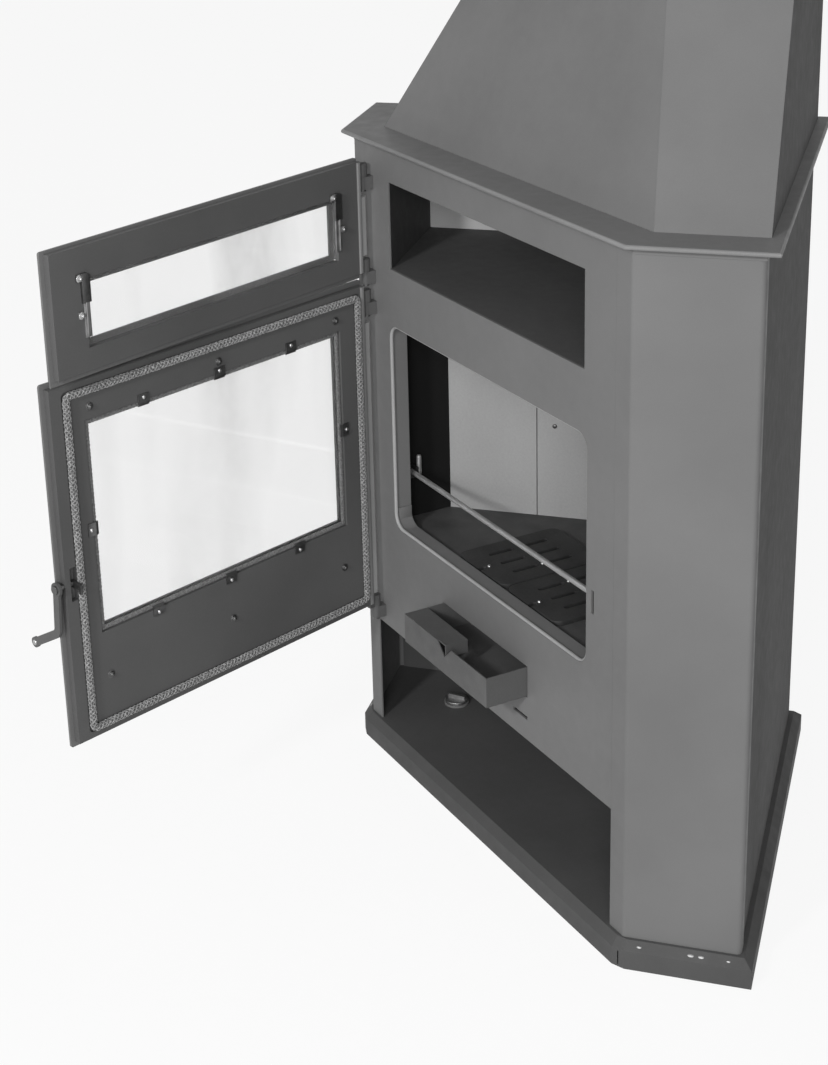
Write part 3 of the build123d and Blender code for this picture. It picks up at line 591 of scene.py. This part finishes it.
def rope_seal():
    """Dark core of the door seal, and the pale yarns braided round it."""
    corner, core_step, core_share = 8, 12, 0.74
    strands, yarn, yarn_step, pitch = 8, 1.55, 1.7, 30.0
    half = ROPE_WIDTH / 2
    depth = (ROPE_OUTER - ROPE_INNER) / 2
    middle = (ROPE_INNER + ROPE_OUTER) / 2
    ring = (ROPE_LEFT + half, ROPE_RIGHT - half, ROPE_BOTTOM + half, ROPE_TOP - half)
    core = bmesh.new()
    section = ellipse(core_share * half, core_share * depth)
    sweep(core, loop_path(*ring, corner, core_step, middle), section, close=True)
    piece("rope_core", core, "fire_door", DARK_YARN, FIRE_LEAF)
    woven = bmesh.new()
    path = loop_path(*ring, corner, yarn_step, middle)
    braid(woven, path, half - yarn, depth - yarn, strands, yarn, pitch)
    piece("rope_seal", woven, "fire_door", PALE_YARN, FIRE_LEAF, ("fire_door_rope",))


def glass_gasket():
    """Flat braided tape in the rebate round the fire glass."""
    clearance, corner, core_step = 0.6, 1, 12
    strands, yarn, yarn_step, pitch, facets = 6, 0.9, 1.8, 20.0, 4
    half = (REBATE - clearance) / 2
    depth = (GASKET_OUTER - GASKET_INNER) / 2
    middle = (GASKET_OUTER + GASKET_INNER) / 2
    ring = (
        WINDOW_LEFT - REBATE / 2,
        WINDOW_RIGHT + REBATE / 2,
        FIRE_WINDOW_BOTTOM - REBATE / 2,
        FIRE_WINDOW_TOP + REBATE / 2,
    )
    tape = bmesh.new()
    section = ellipse(0.8 * half, 0.75 * depth)
    sweep(tape, loop_path(*ring, corner, core_step, middle), section, close=True)
    path = loop_path(*ring, corner, yarn_step, middle)
    braid(tape, path, half - yarn, depth - yarn, strands, yarn, pitch, facets)
    piece("glass_gasket", tape, "fire_door", GASKET_YARN, FIRE_LEAF, ("fire_door_bead",))


# Fasteners of the doors


def fire_bolts():
    """Bolts in the frame of the fire door, above and below the window."""
    bolt_size, bolt_height = 5.0, 5.5
    bolts = bmesh.new()
    middle_u = (WINDOW_LEFT + WINDOW_RIGHT) / 2
    for v in BOLT_HEIGHTS:
        for u in (WINDOW_LEFT, middle_u, WINDOW_RIGHT):
            hex_bolt(bolts, inner_face(u, v), bolt_size, bolt_height)
    piece("fire_bolts", bolts, "fire_door", DARK_STEEL, FIRE_LEAF, ("fire_door_bolts",))


def fire_clips():
    """Spring clips round the window of the fire door, each with its screw."""
    screw_spot, screw_radius, screw_height = (5.5, 0, 2.0), 3.4, 2.4
    clips = bmesh.new()
    screws = bmesh.new()
    span = WINDOW_RIGHT - WINDOW_LEFT
    places = []
    for share in (0.2, 0.5, 0.8):
        places.append((WINDOW_LEFT + share * span, FIRE_WINDOW_TOP + REBATE, (0, 1, 0)))
        places.append((WINDOW_LEFT + share * span, FIRE_WINDOW_BOTTOM - REBATE, (0, -1, 0)))
    side_v = (FIRE_WINDOW_BOTTOM + FIRE_WINDOW_TOP) / 2
    places.append((WINDOW_LEFT - REBATE, side_v, (-1, 0, 0)))
    places.append((WINDOW_RIGHT + REBATE, side_v, (1, 0, 0)))
    for u, v, away in places:
        spot = inner_face(u, v, away)
        spring_clip(clips, spot)
        pan_screw(screws, spot @ Matrix.Translation(screw_spot), screw_radius, screw_height)
    piece("fire_clips", clips, "fire_door", DARK_STEEL, FIRE_LEAF, ("fire_door_clips",))
    piece("fire_clip_screws", screws, "fire_door", BRIGHT_STEEL, FIRE_LEAF)


def spring_clip(mesh, place):
    """Bent clip: a foot on the frame and a toe that holds the gasket."""
    half, thick = 11.0, 1.8
    run = ((11.0, 0.0), (0.5, 0.0), (-1.5, 1.2), (-4.5, 1.2), (-7.5, -1.0), (-8.5, -1.0))
    ring = [(x, z) for x, z in run] + [(x, z + thick) for x, z in reversed(run)]
    sides = [[place @ Vector((x, side, z)) for x, z in ring] for side in (-half, half)]
    rows = bridge(mesh, sides)
    count = len(run)
    for row, flip in ((rows[0], False), (rows[1], True)):
        for n in range(count - 1):
            face = (row[n], row[n + 1], row[2 * count - 2 - n], row[2 * count - 1 - n])
            mesh.faces.new(tuple(reversed(face)) if flip else face)


def niche_fasteners():
    """Long glass clips of the niche door: a strip, a bracket over it and two bolts each."""
    middle = (NICHE_WINDOW_BOTTOM + NICHE_WINDOW_TOP) / 2
    low, high, join = middle - 36.0, middle + 60.0, middle + 22.0
    half, lug = 6.0, 16.0
    rib, rib_half = 2.2, 1.6
    bolt_size, bolt_side, low_bolt, high_bolt = 4.6, 11.0, 5.0, 5.5
    strips = bmesh.new()
    brackets = bmesh.new()
    bolts = bmesh.new()
    for u, away in ((WINDOW_LEFT - REBATE, -1), (WINDOW_RIGHT + REBATE, 1)):
        spot = inner_face(u, 0, (0, 1, 0))
        near, far = sorted((away * (half - 1.0), away * lug))
        plate(strips, spot, rectangle(low, join, -half, half), 0.0, 2.5)
        ridge = rectangle(low + 2, join - 2, away * rib - rib_half, away * rib + rib_half)
        plate(strips, spot, ridge, 2.4, 5.2, 1.2)
        plate(strips, spot, rectangle(middle - 5, middle + 5, near, far), 0.0, 2.3)
        head = ((join - 4, -half - 2), (high, -half - 2), (high + 4, -2.0), (high + 4, half + 2))
        plate(brackets, spot, head + ((join - 4, half + 2),), 0.4, 5.0, 1.2)
        plate(brackets, spot, rectangle(high - 8, high + 3, half, lug), 0.0, 3.0)
        on_strip = Matrix.Translation((middle, away * bolt_side, 2.3))
        on_head = Matrix.Translation((high - 2.5, bolt_side, 3.0))
        hex_bolt(bolts, spot @ on_strip, bolt_size, low_bolt)
        hex_bolt(bolts, spot @ on_head, bolt_size, high_bolt)
    piece("niche_clips", strips, "niche_door", ZINC, NICHE_LEAF, ("niche_door_clips",))
    piece("niche_clip_heads", brackets, "niche_door", DARK_STEEL, NICHE_LEAF)
    piece("niche_bolts", bolts, "niche_door", BRIGHT_STEEL, NICHE_LEAF, ("niche_door_bolts",))


def hinge_folds():
    """Folded bead along the hinge edge of each leaf, in lighter paint as a painted highlight."""
    near, far, sunk, height, ease = 14.5, 22.0, -0.2, 3.4, 2.4
    leaves = (
        ("fire_fold", FIRE_LEAF, "fire_door", FIRE_FOLD_ENDS),
        ("niche_fold", NICHE_LEAF, "niche_door", NICHE_FOLD_ENDS),
    )
    for name, leaf, body, ends in leaves:
        fold = bmesh.new()
        plate(fold, inner_face(0, 0, (0, 1, 0)), rectangle(*ends, near, far), sunk, height, ease)
        piece(name, fold, body, FOLD_HIGHLIGHT_PAINT, leaf)


def hinge_leaves():
    """Curled sheet on each hinge axis, between the knuckles, in lighter paint as a painted highlight.
    """
    curl, ease = 4.8, 0.7
    near, far, thick = 3.0, 15.0, 2.0
    leaves = (
        ("fire_hinge_leaf", FIRE_LEAF, "fire_door", FIRE_CURL_ENDS),
        ("niche_hinge_leaf", NICHE_LEAF, "niche_door", NICHE_CURL_ENDS),
    )
    for name, leaf, body, (low, high) in leaves:
        sheet = bmesh.new()
        length = high - low
        steps = ((curl - ease, 0), (curl, ease), (curl, length - ease), (curl - ease, length))
        turned(sheet, facing(Vector((0, low, 0)), (0, 1, 0), (1, 0, 0)), steps)
        plate(sheet, Matrix(), rectangle(near, far, low, high), FRAME_FACE, FRAME_FACE + thick, 0.4)
        piece(name, sheet, body, HIGHLIGHT_EDGE_PAINT, leaf)


def handle_rivet():
    """Bright rivet at the end of the lever."""
    radius, height = 4.5, 2.2
    rivet = bmesh.new()
    pan_screw(rivet, facing(LEVER_END, (1, 0, 0), (0, 1, 0)), radius, height)
    piece("lever_rivet", rivet, "handle", BRIGHT_STEEL, FIRE_LEAF)


# Details of the body


def opening_roll():
    """Rolled edge inside the fire opening, in lighter paint as a painted highlight."""
    radius, gap, setback, step = 3.4, 0.2, 0.6, 14
    frame_plane = Matrix(((1, 0, 0, 0), (0, 0, 1, 0), (0, 1, 0, 0), (0, 0, 0, 1)))
    ring = (-FIRE_HALF + gap, FIRE_HALF - gap, FIRE_BOTTOM + gap, FIRE_TOP - gap)
    roll = bmesh.new()
    path = loop_path(*ring, FIRE_RADIUS, step, radius + setback)
    sweep(roll, path, half_round(-radius), close=True)
    piece("opening_roll", roll, "stove", HIGHLIGHT_EDGE_PAINT, frame_plane)


def top_sheet():
    """Top plate with a thin rolled edge, over an upstand in line with the body."""
    nose, bore_sides = 3.6, 48
    reach = TOP_OVERHANG - nose
    crown = BODY_TOP + TOP_THICKNESS
    under = crown - 2 * nose
    up = Vector((0, 0, 1))
    sheet = bmesh.new()
    steps = ((0.0, BODY_TOP), (0.0, under), (reach, under), (reach, crown))
    rows = bridge(sheet, [[corner + up * z for corner in plan(out)] for out, z in steps])
    facets = [2 * pi * n / bore_sides for n in range(bore_sides)]
    bore = [Vector((FLUE_BORE * cos(a), FLUE_Y + FLUE_BORE * sin(a), 0)) for a in facets]
    walls = bridge(sheet, [[spot + up * z for spot in bore] for z in (crown, BODY_TOP)])
    for border, hole in ((rows[-1], walls[0]), (rows[0], walls[1])):
        pairs = [pair for ring in (border, hole) for pair in zip(ring, ring[1:] + ring[:1])]
        edges = [sheet.edges.get(pair) for pair in pairs]
        bmesh.ops.triangle_fill(sheet, edges=edges, use_beauty=True)
    piece("top_sheet", sheet, "stove", BODY_PAINT, Matrix(), ("top_plate",))

    path = [
        (corner + up * (crown - nose), beyond - corner, up)
        for corner, beyond in zip(plan(reach), plan(reach + 1))
    ]
    edge = bmesh.new()
    sweep(edge, path, half_round(nose), close=True)
    # The rolled edge of the top is in the lighter paint, a painted highlight.
    piece("top_edge", edge, "stove", FOLD_HIGHLIGHT_PAINT)


def niche_backs():
    """Sheets on the rear walls of the warming niche, pale as painted light."""
    margin, gap, thick, ease = 0.3, 0.05, 0.8, 0.2
    backs = bmesh.new()
    rear = plan(-REAR_INSET)[2]
    for hand in (-1, 1):
        spot = facing(rear, (-hand, -1, 0))
        near, far = sorted((-hand, -hand * NICHE_REAR_RUN))
        outline = rectangle(NICHE_LEVEL + margin, BODY_TOP - margin, near, far)
        plate(backs, spot, outline, gap, gap + thick, ease)
    piece("niche_backs", backs, "stove", NICHE_BACK_PAINTED_LIGHT)


def jamb_tongues():
    """Rounded ends of the jamb strips over the lower corners of the fire opening."""
    reach, middle_y, bend_level, top_level = 12.5, 21.0, 477.0, 494.0
    low, high, ease = 0.4, 3.2, 1.0
    tongues = bmesh.new()
    for hand in (-1, 1):
        spot = facing(Vector((hand * FIRE_HALF, middle_y, 0)), (-hand, 0, 0), (0, 1, 0))
        rise = 1 if (spot.to_3x3() @ Vector((0, 1, 0))).z > 0 else -1
        outline = []
        for n in range(11):
            angle = 0.1 * pi * n
            outline.append((reach * cos(angle), rise * (bend_level - reach * sin(angle))))
        outline += [(-reach, rise * top_level), (reach, rise * top_level)]
        if rise > 0:
            outline.reverse()
        plate(tongues, spot, outline, low, high, ease)
    piece("jamb_tongues", tongues, "stove", BODY_PAINT)


def bracket_pegs():
    """Upright pegs behind the cradles of the log retainer."""
    radius, length = 4.5, 32.0
    pegs = bmesh.new()
    for hand in (-1, 1):
        foot = Matrix.Translation((hand * PEG_X, PEG_Y, PEG_FOOT))
        turned(pegs, foot, [(radius, 0)] + dome(radius, length, radius))
    piece("bracket_pegs", pegs, "stove", DRAWN_STEEL)


def grate_pins():
    """Small pins at the lifting notches and slots of the grate plates."""
    radius, shank, rise, sides = 3.2, 1.0, 2.4, 16
    pins = bmesh.new()
    for x, y in GRATE_PINS:
        for hand in (-1, 1):
            foot = Matrix.Translation((hand * x, y, GRATE_TOP))
            turned(pins, foot, [(radius, 0)] + dome(radius, shank, rise), sides)
    piece("grate_pins", pins, "stove", BRIGHT_STEEL)


def lining_fixings():
    """Two screws near the top of each lining panel, and two lower down on the middle ones."""
    radius, height = 4.2, 2.2
    screws = bmesh.new()
    pitch = LINING_HALF * sqrt(2) / LINING_PANELS
    for hand in (-1, 1):
        along = Vector((-hand, 1, 0)).normalized()
        normal = Vector((-hand, -1, 0)).normalized()
        corner = Vector((hand * LINING_HALF, LINING_CORNER_Y, 0))
        places = []
        for panel in range(LINING_PANELS):
            for share in (0.25, 0.75):
                places.append((panel + share, LINING_TOP - pitch / 2))
        for share in (0.2, 0.53):
            places.append((1 + share, LOW_SCREW_HEIGHT))
        for panels, level_z in places:
            spot = corner + along * panels * pitch
            spot.z = level_z
            pan_screw(screws, facing(spot, normal), radius, height)
    piece("lining_fixings", screws, "stove", DARK_STEEL, Matrix(), ("lining_screws",))


def niche_lip():
    """Thin folded lip under the niche door, which closes the gap over the fire door."""
    inner, outer, ease = 4.6, 7.4, 0.4
    lip = bmesh.new()
    plate(lip, Matrix(), rectangle(LIP_LEFT, LIP_RIGHT, LIP_BOTTOM, LIP_TOP), inner, outer, ease)
    piece("niche_lip", lip, "niche_door", BODY_PAINT, NICHE_LEAF)


def base_welds():
    """Weld spots along the bevel of the base, under the 45 degree sides."""
    sides, stretch = 16, Matrix.Diagonal((1.8, 1, 1, 1))
    welds = bmesh.new()
    corners = plan(BASE_OVERHANG - 0.5 * BASE_BEVEL)
    for start, end in ((corners[0], corners[1]), (corners[-1], corners[-2])):
        along = (end - start).normalized()
        normal = Vector((along.y, -along.x, 0)) * (1 if along.x > 0 else -1)
        slope = (normal + Vector((0, 0, 1))).normalized()
        for n, share in enumerate(WELD_SHARES):
            spot = start.lerp(end, share)
            spot.z = BASE_HEIGHT - 0.5 * BASE_BEVEL
            size = 2.4 + 1.0 * noise.noise(Vector((n, start.x, 0.5)))
            bead = [(size, -0.6), (0.96 * size, 0.3), (0.7 * size, 0.8), (0.3 * size, 1.0)]
            turned(welds, facing(spot, slope, along) @ stretch, bead, sides)
    piece("base_welds", welds, "stove", ZINC)


# Stage, lights and camera


def white_to_camera(tree):
    """One for rays that come straight, by reflection or through glass from the camera."""
    path = add_node(tree, "ShaderNodeLightPath").outputs
    seen = math_node(tree, "MAXIMUM", path["Is Camera Ray"], path["Is Glossy Ray"])
    return math_node(tree, "MAXIMUM", seen, path["Is Transmission Ray"])


def stage():
    """Pale floor that keeps the shadow, and a white world."""
    data = bpy.data.meshes.new("floor")
    outline = rectangle(-FLOOR_HALF, FLOOR_HALF, -FLOOR_HALF, FLOOR_HALF)
    data.from_pydata([(x, y, 0) for x, y in outline], [], [(0, 1, 2, 3)])
    floor = bpy.data.objects.new("floor", data)
    bpy.context.scene.collection.objects.link(floor)
    made, tree, surface = new_material("pale_floor")
    speck = grain(tree, local_place(tree), 30.0, 3.0)
    set_surface(
        tree, surface, Base_Color=tone(tree, speck, ((0.3, 0.76), (0.7, 0.8))), Roughness=0.9
    )
    glow = add_node(tree, "ShaderNodeEmission", {"Color": (1, 1, 1, 1), "Strength": 1.0})
    share = math_node(tree, "MULTIPLY", white_to_camera(tree), FLOOR_GLOW)
    both = add_node(
        tree, "ShaderNodeMixShader", {0: share, 1: surface.outputs[0], 2: glow.outputs[0]}
    )
    tree.links.new(both.outputs[0], tree.nodes["Material Output"].inputs["Surface"])
    data.materials.append(made)

    world = bpy.data.worlds.new("studio")
    bpy.context.scene.world = world
    world.use_nodes = True
    tree = world.node_tree
    sky = tree.nodes["Background"]
    sky.inputs["Color"].default_value = (1, 1, 1, 1)
    strength = level(tree, white_to_camera(tree), WORLD_LIGHT, 1.0, 0.0, 1.0)
    tree.links.new(strength, sky.inputs["Strength"])


def lamp(name, place, target, size, power):
    """Round soft lamp that looks at a target."""
    data = bpy.data.lights.new(name, "AREA")
    data.shape = "DISK"
    data.size = size
    data.energy = power
    made = bpy.data.objects.new(name, data)
    made.location = place
    made.rotation_euler = (target - place).to_track_quat("-Z", "Y").to_euler()
    bpy.context.scene.collection.objects.link(made)


def camera():
    """Camera of the photograph, from its fitted place and angles."""
    yaw, pitch, roll = (radians(a) for a in (CAMERA_YAW, CAMERA_PITCH, CAMERA_ROLL))
    ahead = Vector((-sin(yaw) * cos(pitch), cos(yaw) * cos(pitch), -sin(pitch)))
    right = Vector((cos(yaw), sin(yaw), 0))
    up = right.cross(ahead)
    right_rolled = right * cos(roll) + up * sin(roll)
    up_rolled = up * cos(roll) - right * sin(roll)
    data = bpy.data.cameras.new("camera")
    data.lens = CAMERA_LENS
    data.shift_x = CAMERA_SHIFT_X
    data.shift_y = CAMERA_SHIFT_Y
    data.clip_end = 200.0
    made = bpy.data.objects.new("camera", data)
    turn = Matrix((right_rolled, up_rolled, -ahead)).transposed().to_4x4()
    made.matrix_world = Matrix.Translation(CAMERA_PLACE) @ turn
    bpy.context.scene.collection.objects.link(made)
    bpy.context.scene.camera = made


finish_nodes()
rope_seal()
glass_gasket()
fire_bolts()
fire_clips()
niche_fasteners()
handle_rivet()
hinge_folds()
hinge_leaves()
opening_roll()
top_sheet()
niche_backs()
jamb_tongues()
bracket_pegs()
grate_pins()
lining_fixings()
niche_lip()
base_welds()
stage()
lamp("key", KEY_PLACE, KEY_TARGET, KEY_SIZE, KEY_POWER)
lamp("side", SIDE_PLACE, SIDE_TARGET, SIDE_SIZE, SIDE_POWER)
camera()
bpy.context.scene.view_settings.view_transform = "Standard"
